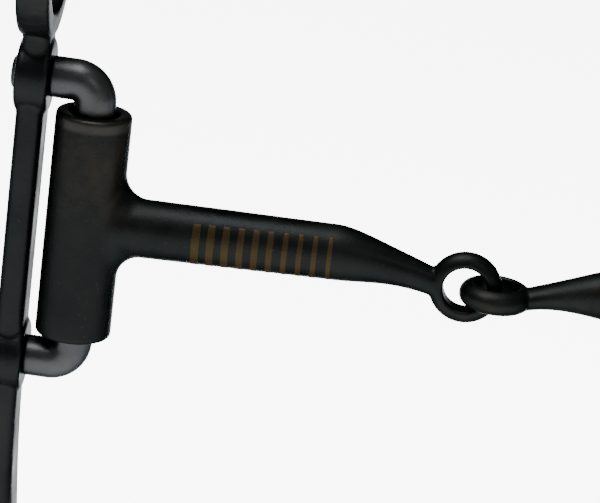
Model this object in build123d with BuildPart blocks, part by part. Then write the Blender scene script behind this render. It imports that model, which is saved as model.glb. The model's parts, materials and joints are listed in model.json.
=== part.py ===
"""A loose-cheek curb bit with a jointed mouthpiece, in millimetres.

Z is up, X runs across the mouth from the left cheek to the right, and the shanks sweep back towards +Y.
The origin is the middle of the joint between the two mouth arms, at the height of the left arm's eye.
The left side is modelled first. The right side is its mirror image, lowered until its eye rests in the
left arm's eye, and its eye lies flat where the left one stands upright.
"""
import os

from build123d import *

os.makedirs("parts", exist_ok=True)

# Mouth arm: a forged bar from the sleeve round the spindle to the eye of the middle joint
arm_reach = 69.8
arm_height = 10.9
arm_depth = 10.4
arm_drop = 2.0
root_rise = 0.4
shoulder_rise = 1.2
shoulder_height = 10.2
shoulder_depth = 9.4
root_round = 4.6
neck_narrow = 4.6
neck_wide = 5.8

# Eyes that link the two arms
eye_hole_radius = 4.0
eye_wire = 2.65
eye_depth = 4.7
eye_offset = 2.8
eye_gap = 0.9
eye_rim_round = 0.6

# Sleeve at the outer end of each arm
sleeve_length = 42.3
sleeve_wall = 2.3
sleeve_rim_round = 0.7

# Spindle: a round bar bent into a staple, which runs through the sleeve and is riveted to the cheek
spindle_radius = 3.75
spindle_clearance = 0.85
spindle_bend = 3.9
rim_gap = 1.7
tenon_radius = 2.6
rivet_radius = 3.8
rivet_height = 1.1

# Cheek: a forged plate with the headstall eye above and the swept shank below
cheek_thickness = 6.0
cheek_width = 10.0
grip_thickness = 5.0
cheek_gap = 1.3
cheek_edge_round = 2.2
lug_radius = 6.8
headstall_neck = 0.6
headstall_hole_radius = 10.2
headstall_wall = 4.4
hole_edge_round = 0.8
shank_drop = 108.0
shank_sweep = 31.0
shank_end_slope = 0.6
shank_waist = 0.36
rein_hole_radius = 5.0
rein_wall = 4.2

# Rein ring: a loose round ring that hangs in the eye of each shank
ring_radius = 18.0
ring_wire_radius = 2.4
ring_gap = 0.5

# Copper bars let into the tongue side of each arm
bar_count = 10
bar_first = 20.9
bar_last = 45.0
bar_width_first = 1.6
bar_width_last = 1.05
bar_depth = 0.8
bar_top = 3.7

# Sizes that follow from the ones above
bore_radius = spindle_radius + spindle_clearance
sleeve_radius = bore_radius + sleeve_wall
eye_outer_radius = eye_hole_radius + eye_wire
eye_wire_centre = eye_hole_radius + eye_wire / 2
shoulder_reach = bar_last + 1.0
axis_x = -(arm_reach + eye_offset)
right_drop = eye_hole_radius - eye_depth / 2 - eye_gap
staple_height = sleeve_length / 2 + rim_gap + spindle_radius
cheek_inner_x = axis_x - sleeve_radius - cheek_gap
cheek_outer_x = cheek_inner_x - cheek_thickness
cheek_middle_x = cheek_inner_x - cheek_thickness / 2
headstall_outer_radius = headstall_hole_radius + headstall_wall
headstall_z = arm_drop + staple_height + lug_radius + headstall_neck + headstall_outer_radius
rein_hole_z = arm_drop - shank_drop
ring_hang = rein_hole_radius - ring_wire_radius - ring_gap


def oval(reach, height, depth, rise):
    """An oval section square across the arm, at a reach from the spindle's axis."""
    plane = Plane(origin=(axis_x + reach, 0, arm_drop + rise), x_dir=(0, 1, 0), z_dir=(1, 0, 0))
    with BuildSketch(plane, mode=Mode.PRIVATE) as section:
        Ellipse(depth / 2, height / 2)
    return section.sketch


def straight_oval(reach, inset=0):
    """A section of the arm's straight part, which tapers evenly from the sleeve to the shoulder."""
    share = (reach - spindle_clearance) / (shoulder_reach - spindle_clearance)
    height = arm_height + (shoulder_height - arm_height) * share
    depth = arm_depth + (shoulder_depth - arm_depth) * share
    rise = root_rise + (shoulder_rise - root_rise) * share
    return oval(reach, height - 2 * inset, depth - 2 * inset, rise)


def sleeved_arm(neck_height, neck_depth):
    """The bar joined to its sleeve with a rounded root, before the bore and the bar grooves are cut."""
    neck = arm_reach - eye_outer_radius
    with BuildPart() as blank:
        with Locations((axis_x, 0, arm_drop)):
            Cylinder(sleeve_radius, sleeve_length)
        fillet(blank.edges().filter_by(GeomType.CIRCLE), sleeve_rim_round)
        before = blank.edges()
        loft([straight_oval(spindle_clearance), straight_oval(shoulder_reach)], ruled=True)
        root = [edge for edge in blank.edges() - before if edge.center().X < axis_x + sleeve_radius + 1]
        fillet(root, root_round)
        loft(
            [
                straight_oval(shoulder_reach),
                oval(shoulder_reach + 1.2, shoulder_height * 0.985, shoulder_depth * 0.985, shoulder_rise * 0.96),
                oval(neck - 8.0, (shoulder_height + neck_height) * 0.46, (shoulder_depth + neck_depth) * 0.46,
                     shoulder_rise * 0.2),
                oval(neck - 2.0, neck_height, neck_depth, -arm_drop * 0.5),
                oval(arm_reach - eye_wire_centre, neck_height * 0.9, neck_depth * 0.9, -arm_drop),
            ]
        )
    return blank.part


def eye_ring(eye_plane):
    """The eye at the inner end of an arm: a straight hole with rounded mouths and a rounded outside."""
    section_plane = Plane(origin=eye_plane.origin, x_dir=eye_plane.x_dir, z_dir=-eye_plane.y_dir)
    with BuildPart() as ring:
        with BuildSketch(section_plane) as section:
            with Locations((eye_hole_radius, 0)):
                Ellipse(eye_wire, eye_depth / 2)
                Rectangle(2 * eye_wire, eye_depth, align=(Align.MAX, Align.CENTER), mode=Mode.SUBTRACT)
            fillet(section.vertices().group_by(Axis.X)[0], eye_rim_round)
        revolve(axis=Axis(eye_plane.origin, eye_plane.z_dir))
    return ring.part


def copper_bar(number):
    """One copper bar: it wraps the tongue side of the arm and stops short of the top."""
    share = number / (bar_count - 1)
    reach = bar_first + (bar_last - bar_first) * share
    width = bar_width_first + (bar_width_last - bar_width_first) * share
    near, far = reach - width / 2, reach + width / 2
    with BuildPart() as bar:
        loft([straight_oval(near), straight_oval(far)], ruled=True)
        loft([straight_oval(near, bar_depth), straight_oval(far, bar_depth)], ruled=True, mode=Mode.SUBTRACT)
        rise = root_rise + (shoulder_rise - root_rise) * share
        with Locations((axis_x + reach, 0, arm_drop + rise + bar_top + arm_height / 2)):
            Box(2 * width, 2 * arm_depth, arm_height, mode=Mode.SUBTRACT)
    return bar.part


def mouth_arm(neck_height, neck_depth, eye_plane):
    """One forged arm: sleeve, bar and eye, with the spindle's bore and a groove for each copper bar."""
    blank = sleeved_arm(neck_height, neck_depth)
    ring = eye_ring(eye_plane)
    with BuildPart() as arm:
        add([blank, ring])
        with Locations((axis_x, 0, arm_drop)):
            Cylinder(bore_radius, 2 * sleeve_length, mode=Mode.SUBTRACT)
        for bar in copper_bars:
            add(bar, mode=Mode.SUBTRACT)
    return arm.part


def mirrored(piece):
    """The right side's copy of a left piece, lowered into the middle joint's seat."""
    return Pos(0, 0, -right_drop) * mirror(piece, about=Plane.YZ)


def turned(piece):
    """The same for a piece that is alike in front and behind: half a turn about the upright axis."""
    return Pos(0, 0, -right_drop) * Rot(0, 0, 180) * piece


def save(piece, name):
    """Write a finished piece under the name of its node."""
    piece.label = name
    export_step(piece, f"parts/{name}.step")


# The left arm's eye stands upright and the right arm's lies flat, so the two link like chain
upright_eye = Plane(origin=(-eye_offset, 0, 0), x_dir=(1, 0, 0), z_dir=(0, -1, 0))
flat_eye = Plane(origin=(-eye_offset, 0, 0), x_dir=(1, 0, 0), z_dir=(0, 0, 1))

copper_bars = [copper_bar(number) for number in range(bar_count)]

save(mouth_arm(neck_wide, neck_narrow, upright_eye), "left_mouth_arm")
save(turned(mouth_arm(neck_narrow, neck_wide, flat_eye)), "right_mouth_arm")
for number in range(bar_count):
    save(copper_bars[number], f"left_copper_bar_{number + 1}")
    save(turned(copper_bars[number]), f"right_copper_bar_{number + 1}")

# The staple-shaped spindle: a tenon at each end fills its hole in the cheek and is headed over outside
with BuildPart() as left_spindle:
    with BuildLine(Plane.XZ) as staple_path:
        top = (cheek_inner_x, arm_drop + staple_height)
        bottom = (cheek_inner_x, arm_drop - staple_height)
        FilletPolyline(
            top,
            (axis_x, arm_drop + staple_height),
            (axis_x, arm_drop - staple_height),
            bottom,
            radius=spindle_bend,
        )
    with BuildSketch(Plane(origin=staple_path.line @ 0, z_dir=staple_path.line % 0)):
        Circle(spindle_radius)
    sweep()
    for side in (1, -1):
        end = Plane(origin=(cheek_inner_x, 0, arm_drop + side * staple_height), z_dir=(-1, 0, 0))
        with BuildSketch(end):
            Circle(tenon_radius)
        extrude(amount=cheek_thickness)
        with BuildSketch(end.offset(cheek_thickness)):
            Circle(rivet_radius)
        extrude(amount=rivet_height, taper=50)

# The cheek: headstall eye, straight grip behind the sleeve, swept shank and rein eye, forged in one
heading = Vector(0, shank_sweep, -shank_drop * shank_end_slope).normalized()
shank_end = Vector(0, shank_sweep, rein_hole_z) - heading * (rein_hole_radius + rein_wall / 2)
with BuildPart() as left_cheek:
    with BuildSketch(Plane.YZ.offset(cheek_outer_x)):
        with Locations((0, headstall_z)):
            Circle(headstall_outer_radius)
            Circle(headstall_hole_radius, mode=Mode.SUBTRACT)
        with Locations((shank_sweep, rein_hole_z)):
            Circle(rein_hole_radius + rein_wall)
            Circle(rein_hole_radius, mode=Mode.SUBTRACT)
        with Locations((0, arm_drop + staple_height), (0, arm_drop - staple_height)):
            Circle(lug_radius)
    extrude(amount=cheek_thickness)
    fillet(left_cheek.edges().filter_by(GeomType.CIRCLE), hole_edge_round)
    with BuildLine(Plane.YZ.offset(cheek_middle_x)) as shank_path:
        grip = Line(
            (0, headstall_z - headstall_hole_radius - headstall_wall / 2),
            (0, arm_drop - staple_height),
        )
        Spline(
            grip @ 1,
            (shank_end.Y * shank_waist, (arm_drop - staple_height + shank_end.Z) / 2),
            (shank_end.Y, shank_end.Z),
            tangents=(grip % 1, heading),
        )
    with BuildSketch(Plane(origin=shank_path.line @ 0, x_dir=(1, 0, 0), z_dir=shank_path.line % 0)):
        RectangleRounded(grip_thickness, cheek_width, cheek_edge_round)
    sweep()
    with BuildSketch(Plane.YZ.offset(cheek_outer_x)):
        with Locations((0, arm_drop + staple_height), (0, arm_drop - staple_height)):
            Circle(tenon_radius)
    extrude(amount=cheek_thickness, mode=Mode.SUBTRACT)

# The rein ring hangs from the bottom of the shank's eye, and its plane lies across the cheek
with BuildPart() as left_rein_ring:
    with Locations(Location((cheek_middle_x, shank_sweep, rein_hole_z - ring_hang - ring_radius), (90, 0, 0))):
        Torus(ring_radius, ring_wire_radius)

for piece, name in ((left_spindle, "spindle"), (left_cheek, "cheek"), (left_rein_ring, "rein_ring")):
    save(piece.part, f"left_{name}")
    save(mirrored(piece.part), f"right_{name}")
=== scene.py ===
import json
import math

import bpy
from mathutils import Matrix, Vector

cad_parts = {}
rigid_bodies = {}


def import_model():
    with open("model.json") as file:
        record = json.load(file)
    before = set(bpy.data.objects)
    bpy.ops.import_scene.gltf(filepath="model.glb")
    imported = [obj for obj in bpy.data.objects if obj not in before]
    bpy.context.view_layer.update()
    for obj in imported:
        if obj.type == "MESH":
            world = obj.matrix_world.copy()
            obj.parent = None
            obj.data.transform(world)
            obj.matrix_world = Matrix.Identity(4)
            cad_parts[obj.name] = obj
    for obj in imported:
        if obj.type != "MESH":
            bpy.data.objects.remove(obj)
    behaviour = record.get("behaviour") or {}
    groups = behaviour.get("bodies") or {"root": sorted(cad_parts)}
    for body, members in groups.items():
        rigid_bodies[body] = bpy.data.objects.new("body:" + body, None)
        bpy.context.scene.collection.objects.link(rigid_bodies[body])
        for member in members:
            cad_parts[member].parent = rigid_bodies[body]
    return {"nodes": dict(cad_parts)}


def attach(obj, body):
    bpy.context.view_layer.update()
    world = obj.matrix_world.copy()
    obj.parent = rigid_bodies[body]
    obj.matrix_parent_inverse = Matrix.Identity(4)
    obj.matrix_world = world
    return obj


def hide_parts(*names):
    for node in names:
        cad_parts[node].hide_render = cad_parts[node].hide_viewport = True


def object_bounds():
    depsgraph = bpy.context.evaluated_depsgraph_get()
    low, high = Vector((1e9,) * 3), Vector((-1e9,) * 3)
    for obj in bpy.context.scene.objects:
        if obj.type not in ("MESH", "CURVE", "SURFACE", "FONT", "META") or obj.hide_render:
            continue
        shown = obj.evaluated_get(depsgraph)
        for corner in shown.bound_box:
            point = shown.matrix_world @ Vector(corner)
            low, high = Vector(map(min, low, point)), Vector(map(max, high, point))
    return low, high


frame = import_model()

cad_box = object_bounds()
bpy.ops.object.select_all(action="DESELECT")

# ---------------------------------------------------------------------------------------------
# Studio: a pale paper floor that also gives off light of its own, a pale room, a large soft box
# overhead and a small weak one in front, seen from the front, a little above and to the right,
# with the view rolled so that the left mouth arm runs down it.
# ---------------------------------------------------------------------------------------------
view_middle = Vector((-0.0331, 0.0, 0.00236))
view_width = 0.108
view_distance = 0.60
view_azimuth = math.radians(3.0)
view_elevation = math.radians(18.5)
view_roll = math.radians(7.0)
sensor_width = 36.0

bpy.ops.object.camera_add()
camera = bpy.context.object
camera.name = "camera"
camera.data.sensor_width = sensor_width
camera.data.lens = sensor_width * view_distance / view_width
towards_camera = Vector((
    math.sin(view_azimuth) * math.cos(view_elevation),
    -math.cos(view_azimuth) * math.cos(view_elevation),
    math.sin(view_elevation),
))
camera.location = view_middle + towards_camera * view_distance
look = (-towards_camera).to_track_quat("-Z", "Y").to_matrix()
camera.rotation_euler = (look @ Matrix.Rotation(view_roll, 3, "Z")).to_euler()
bpy.context.scene.camera = camera

floor_side = 6.0
floor_height = cad_box[0][2]
paper_white = (0.97, 0.97, 0.97, 1)
paper_roughness = 0.9
paper_glow = 6.0
bpy.ops.mesh.primitive_plane_add(size=floor_side, location=(0, 0, floor_height))
floor = bpy.context.object
floor.name = "paper_floor"
paper = bpy.data.materials.new("pale_paper")
paper.use_nodes = True
paper_shader = paper.node_tree.nodes["Principled BSDF"]
paper_shader.inputs["Base Color"].default_value = paper_white
paper_shader.inputs["Roughness"].default_value = paper_roughness
paper_shader.inputs["Emission Color"].default_value = paper_white
paper_shader.inputs["Emission Strength"].default_value = paper_glow
floor.data.materials.append(paper)

room_white = (1.0, 1.0, 1.0, 1)
room_strength = 1.1
world = bpy.data.worlds.new("studio")
bpy.context.scene.world = world
world.use_nodes = True
world.node_tree.nodes["Background"].inputs["Color"].default_value = room_white
world.node_tree.nodes["Background"].inputs["Strength"].default_value = room_strength


def soft_light(name, size, power, place, aim):
    """A square soft box that points at a place on the bit."""
    bpy.ops.object.light_add(type="AREA", location=place)
    light = bpy.context.object
    light.name = name
    light.data.size = size
    light.data.energy = power
    light.rotation_euler = (Vector(aim) - Vector(place)).to_track_quat("-Z", "Y").to_euler()


overhead_place, overhead_aim = (-0.20, -0.10, 0.65), (-0.03, 0, 0)
front_place, front_aim = (0.30, -0.55, 0.45), (0.0, 0, 0)
soft_light("overhead_box", size=0.45, power=20.0, place=overhead_place, aim=overhead_aim)
soft_light("front_box", size=0.12, power=1.6, place=front_place, aim=front_aim)


# ---------------------------------------------------------------------------------------------
# Mouth arms: each is one iron forging, a sleeve drawn into a bar and bent into an eye, with its
# joins blended by hammer and file. Heat and oil leave a thin black skin on it, which turns brown
# where it is rubbed. The sleeve's rims are painted lighter, as a painted highlight.
# ---------------------------------------------------------------------------------------------
def noise(nodes, links, place, scale, detail, roughness=0.5):
    """A noise texture laid in the piece's own coordinates."""
    texture = nodes.new("ShaderNodeTexNoise")
    texture.inputs["Scale"].default_value = scale
    texture.inputs["Detail"].default_value = detail
    texture.inputs["Roughness"].default_value = roughness
    links.new(place.outputs["Object"], texture.inputs["Vector"])
    return texture


def ramp(nodes, links, source, start, start_color, end, end_color):
    """A colour ramp with two stops, driven by a texture's value."""
    stops = nodes.new("ShaderNodeValToRGB")
    stops.color_ramp.elements[0].position = start
    stops.color_ramp.elements[0].color = start_color
    stops.color_ramp.elements[1].position = end
    stops.color_ramp.elements[1].color = end_color
    links.new(source, stops.inputs["Fac"])
    return stops


def blend(nodes, links, mask, under, over_color):
    """One flat colour laid over another by a mask."""
    mix = nodes.new("ShaderNodeMix")
    mix.data_type = "RGBA"
    mix.inputs["B"].default_value = over_color
    links.new(mask, mix.inputs["Factor"])
    links.new(under, mix.inputs["A"])
    return mix


def bump(nodes, links, height, strength, depth):
    """A bump of a given strength and depth in metres."""
    relief = nodes.new("ShaderNodeBump")
    relief.inputs["Strength"].default_value = strength
    relief.inputs["Distance"].default_value = depth
    links.new(height, relief.inputs["Height"])
    return relief


def aged_metal(name, skin, rubbed, roughness, grain):
    """A dark mottled skin with rubbed patches and specks, a fine grain and a hammered surface."""
    edge_tint = (0.38, 0.39, 0.395, 1)
    metalness = 1.0
    thick_share, thin_share = (0.7, 0.72, 0.75), (1.25, 1.25, 1.2)
    smoother_by, rougher_by = 0.06, 0.10
    black, white = (0, 0, 0, 1), (1, 1, 1, 1)
    thick_skin = (*(level * share for level, share in zip(skin, thick_share)), 1)
    thin_skin = (*(level * share for level, share in zip(skin, thin_share)), 1)
    skin_from, skin_to = 0.30, 0.72
    patch_from, patch_to = 0.56, 0.74
    speck_scale, speck_core, speck_edge = 620.0, 0.04, 0.12
    polish_from, polish_to = 0.3, 0.7

    material = bpy.data.materials.new(name)
    material.use_nodes = True
    nodes, links = material.node_tree.nodes, material.node_tree.links
    shader = nodes["Principled BSDF"]
    shader.inputs["Metallic"].default_value = metalness
    shader.inputs["Specular Tint"].default_value = edge_tint
    place = nodes.new("ShaderNodeTexCoord")

    mottle = noise(nodes, links, place, scale=95.0, detail=6.0, roughness=0.6)
    tone = ramp(nodes, links, mottle.outputs["Fac"], skin_from, thick_skin, skin_to, thin_skin)
    patches = noise(nodes, links, place, scale=38.0, detail=9.0, roughness=0.72)
    patch_mask = ramp(nodes, links, patches.outputs["Fac"], patch_from, black, patch_to, white)
    wear = blend(nodes, links, patch_mask.outputs["Color"], tone.outputs["Color"], (*rubbed, 1))

    specks = nodes.new("ShaderNodeTexVoronoi")
    specks.inputs["Scale"].default_value = speck_scale
    links.new(place.outputs["Object"], specks.inputs["Vector"])
    speck_mask = ramp(nodes, links, specks.outputs["Distance"], speck_core, white, speck_edge, black)
    speckled = blend(nodes, links, speck_mask.outputs["Color"], wear.outputs["Result"], (*rubbed, 1))
    links.new(speckled.outputs["Result"], shader.inputs["Base Color"])

    polish = nodes.new("ShaderNodeMapRange")
    polish.inputs["From Min"].default_value = polish_from
    polish.inputs["From Max"].default_value = polish_to
    polish.inputs["To Min"].default_value = roughness - smoother_by
    polish.inputs["To Max"].default_value = roughness + rougher_by
    links.new(mottle.outputs["Fac"], polish.inputs["Value"])
    links.new(polish.outputs["Result"], shader.inputs["Roughness"])

    fine = noise(nodes, links, place, scale=1500.0, detail=3.0)
    fine_bump = bump(nodes, links, fine.outputs["Fac"], strength=grain, depth=0.00008)
    forge = noise(nodes, links, place, scale=160.0, detail=2.0)
    forge_bump = bump(nodes, links, forge.outputs["Fac"], strength=0.35, depth=0.0003)
    links.new(fine_bump.outputs["Normal"], forge_bump.inputs["Normal"])
    links.new(forge_bump.outputs["Normal"], shader.inputs["Normal"])
    return material


def forged(name, nodes, body, voxel, passes, finish):
    """A forging in the place of its CAD node, with its joins blended as a hammer and file leave them."""
    weld_distance = 0.000001
    smooth_step = 0.5
    bpy.ops.object.select_all(action="DESELECT")
    for node in nodes:
        frame["nodes"][node].select_set(True)
    bpy.context.view_layer.objects.active = frame["nodes"][nodes[0]]
    bpy.ops.object.duplicate()
    if len(nodes) > 1:
        bpy.ops.object.join()
    piece = bpy.context.object
    bpy.ops.object.parent_clear(type="CLEAR_KEEP_TRANSFORM")
    for key in list(piece.keys()):
        if key.startswith("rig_"):
            del piece[key]
    piece.name = name
    piece.data.name = name
    bpy.ops.object.mode_set(mode="EDIT")
    bpy.ops.mesh.select_all(action="SELECT")
    bpy.ops.mesh.remove_doubles(threshold=weld_distance)
    bpy.ops.object.mode_set(mode="OBJECT")
    remesh = piece.modifiers.new("forge", "REMESH")
    remesh.mode = "VOXEL"
    remesh.voxel_size = voxel
    bpy.ops.object.modifier_apply(modifier=remesh.name)
    file_over = piece.modifiers.new("file", "SMOOTH")
    file_over.factor = smooth_step
    file_over.iterations = passes
    bpy.ops.object.modifier_apply(modifier=file_over.name)
    bpy.ops.object.shade_smooth()
    piece.data.materials.clear()
    piece.data.materials.append(finish)
    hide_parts(nodes[0])
    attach(piece, body)
    return piece


sides = ("left", "right")
bar_numbers = range(1, 11)
arm_voxel = 0.00028
arm_passes = 7
mouth_iron = aged_metal("blackened_mouth_iron", skin=(0.0034, 0.0037, 0.0037),
                        rubbed=(0.0070, 0.0060, 0.0047), roughness=0.42, grain=0.45)

# Height above or below the middle of the sleeve, in metres, where the painted highlight on the sleeve's
# rims begins and is full.
rim_highlight_from, rim_highlight_to = 0.0205, 0.0212
painted_rim_highlight = (0.0085, 0.0083, 0.0078, 1)
nodes, links = mouth_iron.node_tree.nodes, mouth_iron.node_tree.links
shader = nodes["Principled BSDF"]
iron_skin = shader.inputs["Base Color"].links[0].from_socket
place = nodes.new("ShaderNodeTexCoord")
axes = nodes.new("ShaderNodeSeparateXYZ")
links.new(place.outputs["Object"], axes.inputs["Vector"])
height = nodes.new("ShaderNodeMath")
height.operation = "ABSOLUTE"
links.new(axes.outputs["Z"], height.inputs[0])
rim_highlight_mask = nodes.new("ShaderNodeMapRange")
rim_highlight_mask.inputs["From Min"].default_value = rim_highlight_from
rim_highlight_mask.inputs["From Max"].default_value = rim_highlight_to
links.new(height.outputs["Value"], rim_highlight_mask.inputs["Value"])
# Painted highlight: a lighter colour is laid over the iron skin at both rims of the sleeve.
rim = blend(nodes, links, rim_highlight_mask.outputs["Result"], iron_skin, painted_rim_highlight)
links.new(rim.outputs["Result"], shader.inputs["Base Color"])

# The arm is taken with its bars in place, so its slots come out filled and the separate copper
# strips lie over that closed surface.
for side in sides:
    filled_arm = [f"{side}_mouth_arm"] + [f"{side}_copper_bar_{number}" for number in bar_numbers]
    forged(f"{side}_arm_forging", filled_arm, f"{side}_arm", arm_voxel, arm_passes, mouth_iron)


# ---------------------------------------------------------------------------------------------
# Copper bars: ten strips of copper hammered into slots across each arm, narrower towards the
# eye, filed almost level with the iron and tarnished to a dull brown.
# ---------------------------------------------------------------------------------------------
strip_voxel = 0.00014
strip_passes = 8
strip_swell = 0.00004
copper = aged_metal("tarnished_copper", skin=(0.0108, 0.0076, 0.0038),
                    rubbed=(0.0150, 0.0102, 0.0050), roughness=0.50, grain=0.5)
for side in sides:
    for number in bar_numbers:
        bar = f"{side}_copper_bar_{number}"
        strip = forged(f"{bar}_strip", [bar], f"{side}_arm", strip_voxel, strip_passes, copper)
        swell = strip.modifiers.new("swell", "DISPLACE")
        swell.strength = strip_swell
        swell.mid_level = 0.0
        bpy.ops.object.modifier_apply(modifier=swell.name)


# ---------------------------------------------------------------------------------------------
# Cheeks: each is one flat iron forging, with the headstall eye above, the grip beside the sleeve
# and the shank swept back to the rein eye below, oil-blackened like the arms.
# ---------------------------------------------------------------------------------------------
cheek_voxel = 0.00034
cheek_passes = 5
cheek_iron = aged_metal("blackened_cheek_iron", skin=(0.0040, 0.0043, 0.0044),
                        rubbed=(0.0068, 0.0060, 0.0050), roughness=0.40, grain=0.4)
for side in sides:
    forged(f"{side}_cheek_forging", [f"{side}_cheek"], f"{side}_cheek", cheek_voxel, cheek_passes,
           cheek_iron)


# ---------------------------------------------------------------------------------------------
# Spindles: a round iron bar bent like a staple runs through the sleeve and is riveted to the
# cheek at both ends. Turning in the sleeve has worn it smoother and lighter than the forgings.
# ---------------------------------------------------------------------------------------------
spindle_voxel = 0.0003
spindle_passes = 4
spindle_iron = aged_metal("worn_spindle_iron", skin=(0.0150, 0.0155, 0.0160),
                          rubbed=(0.0200, 0.0186, 0.0165), roughness=0.34, grain=0.3)
for side in sides:
    forged(f"{side}_spindle_bar", [f"{side}_spindle"], f"{side}_cheek", spindle_voxel, spindle_passes,
           spindle_iron)


# ---------------------------------------------------------------------------------------------
# Rein rings: a round iron wire bent and welded into a loose ring through each shank's eye,
# blackened like the cheek and a little smoother from the rein.
# ---------------------------------------------------------------------------------------------
ring_voxel = 0.0003
ring_passes = 4
ring_iron = aged_metal("blackened_ring_iron", skin=(0.0050, 0.0053, 0.0055),
                       rubbed=(0.0080, 0.0071, 0.0060), roughness=0.35, grain=0.3)
for side in sides:
    forged(f"{side}_rein_ring_wire", [f"{side}_rein_ring"], f"{side}_rein_ring", ring_voxel, ring_passes,
           ring_iron)
